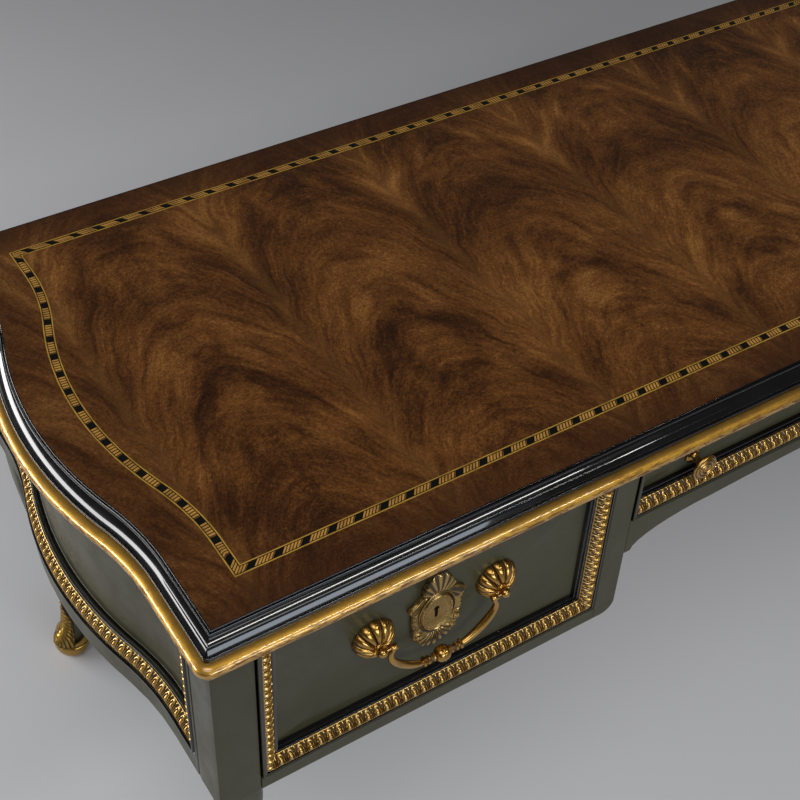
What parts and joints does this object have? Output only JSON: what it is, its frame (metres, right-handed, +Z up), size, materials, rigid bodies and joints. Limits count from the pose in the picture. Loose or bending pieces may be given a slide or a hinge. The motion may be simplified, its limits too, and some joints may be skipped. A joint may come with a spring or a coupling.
{
  "type": "writing desk",
  "caption": "Kneehole writing desk with serpentine ends, inlaid flame veneer top, gilt mouldings, pedestal and centre drawers with bail pulls, and cabriole legs in gilt shoes.",
  "frame": {"origin": "on the floor, under the middle of the desk", "axes": "+X along the length to the sitter's right, -Y towards the sitter (drawer fronts), +Z up"},
  "size_m": [1.8062, 0.7058, 0.762],
  "materials": {
    "mahogany_veneer": "polished flame mahogany veneer on a wooden core, darker at the rim",
    "field_veneer": "polished flame mahogany veneer, matched in leaves about each feather",
    "inlay": "polished satinwood and ebony stringing",
    "ebonised_wood": "ebonised gloss with small worn specks",
    "gilded_wood": "gold leaf, rubbed to a brown ground",
    "olive_paint": "dark olive satin paint on wood",
    "gilt_moulding": "gilt brass with dark antiquing in the hollows",
    "drawer_wood": "plain waxed hardwood",
    "gilt_bronze": "gilt bronze with dark antiquing",
    "antique_brass": "cast antique brass, dark in the hollows and bright on the high parts",
    "lock_steel": "plain dull steel"
  },
  "bodies": {
    "case": {"top_panel": "mahogany_veneer", "veneer_field": "field_veneer", "inlay_banding": "inlay", "edge_moulding": "ebonised_wood", "gilt_bead": "gilded_wood", "left_end_panel": "olive_paint", "right_end_panel": "olive_paint", "front_top_rail": "olive_paint", "left_front_stile": "olive_paint", "right_front_stile": "olive_paint", "front_apron": "olive_paint", "left_pedestal_side": "olive_paint", "right_pedestal_side": "olive_paint", "left_pedestal_bottom": "olive_paint", "right_pedestal_bottom": "olive_paint", "back_panel": "olive_paint", "front_left_leg": "olive_paint", "front_right_leg": "olive_paint", "rear_left_leg": "olive_paint", "rear_right_leg": "olive_paint", "left_end_moulding": "gilt_moulding", "right_end_moulding": "gilt_moulding", "centre_drawer_runners": "drawer_wood", "front_left_sabot": "gilt_bronze", "front_right_sabot": "gilt_bronze", "rear_left_sabot": "gilt_bronze", "rear_right_sabot": "gilt_bronze"},
    "left_drawer": {"left_drawer_front": "olive_paint", "left_drawer_moulding": "gilt_moulding", "left_drawer_side_left": "drawer_wood", "left_drawer_side_right": "drawer_wood", "left_drawer_back": "drawer_wood", "left_drawer_bottom": "drawer_wood", "left_handle_mount_left": "antique_brass", "left_handle_mount_right": "antique_brass", "left_escutcheon": "antique_brass", "left_lock": "lock_steel"},
    "left_bail": {"left_bail": "antique_brass"},
    "left_bolt": {"left_lock_bolt": "lock_steel"},
    "right_drawer": {"right_drawer_front": "olive_paint", "right_drawer_moulding": "gilt_moulding", "right_drawer_side_left": "drawer_wood", "right_drawer_side_right": "drawer_wood", "right_drawer_back": "drawer_wood", "right_drawer_bottom": "drawer_wood", "right_handle_mount_left": "antique_brass", "right_handle_mount_right": "antique_brass", "right_escutcheon": "antique_brass", "right_lock": "lock_steel"},
    "right_bail": {"right_bail": "antique_brass"},
    "right_bolt": {"right_lock_bolt": "lock_steel"},
    "centre_drawer": {"centre_drawer_front": "olive_paint", "centre_drawer_lower_moulding": "gilt_moulding", "centre_drawer_upper_moulding": "gilt_moulding", "centre_drawer_side_left": "drawer_wood", "centre_drawer_side_right": "drawer_wood", "centre_drawer_back": "drawer_wood", "centre_drawer_bottom": "drawer_wood", "centre_knob_left": "antique_brass", "centre_knob_right": "antique_brass"}
  },
  "joints": [
    {"name": "left_drawer_slide", "type": "slide", "parent": "case", "child": "left_drawer", "axis": [0, -1, 0], "range_m": [0, 0.42]},
    {"name": "left_bail_hinge", "type": "hinge", "parent": "left_drawer", "child": "left_bail", "pos_m": [-0.5862, -0.3423, 0.623], "axis": [-1, 0, 0], "range_deg": [0, 100]},
    {"name": "left_bolt_slide", "type": "slide", "parent": "left_drawer", "child": "left_bolt", "axis": [0, 0, 1], "range_m": [0, 0.008]},
    {"name": "right_drawer_slide", "type": "slide", "parent": "case", "child": "right_drawer", "axis": [0, -1, 0], "range_m": [0, 0.42]},
    {"name": "right_bail_hinge", "type": "hinge", "parent": "right_drawer", "child": "right_bail", "pos_m": [0.5862, -0.3423, 0.623], "axis": [-1, 0, 0], "range_deg": [0, 100]},
    {"name": "right_bolt_slide", "type": "slide", "parent": "right_drawer", "child": "right_bolt", "axis": [0, 0, 1], "range_m": [0, 0.008]},
    {"name": "centre_drawer_slide", "type": "slide", "parent": "case", "child": "centre_drawer", "axis": [0, -1, 0], "range_m": [0, 0.33]}
  ]
}
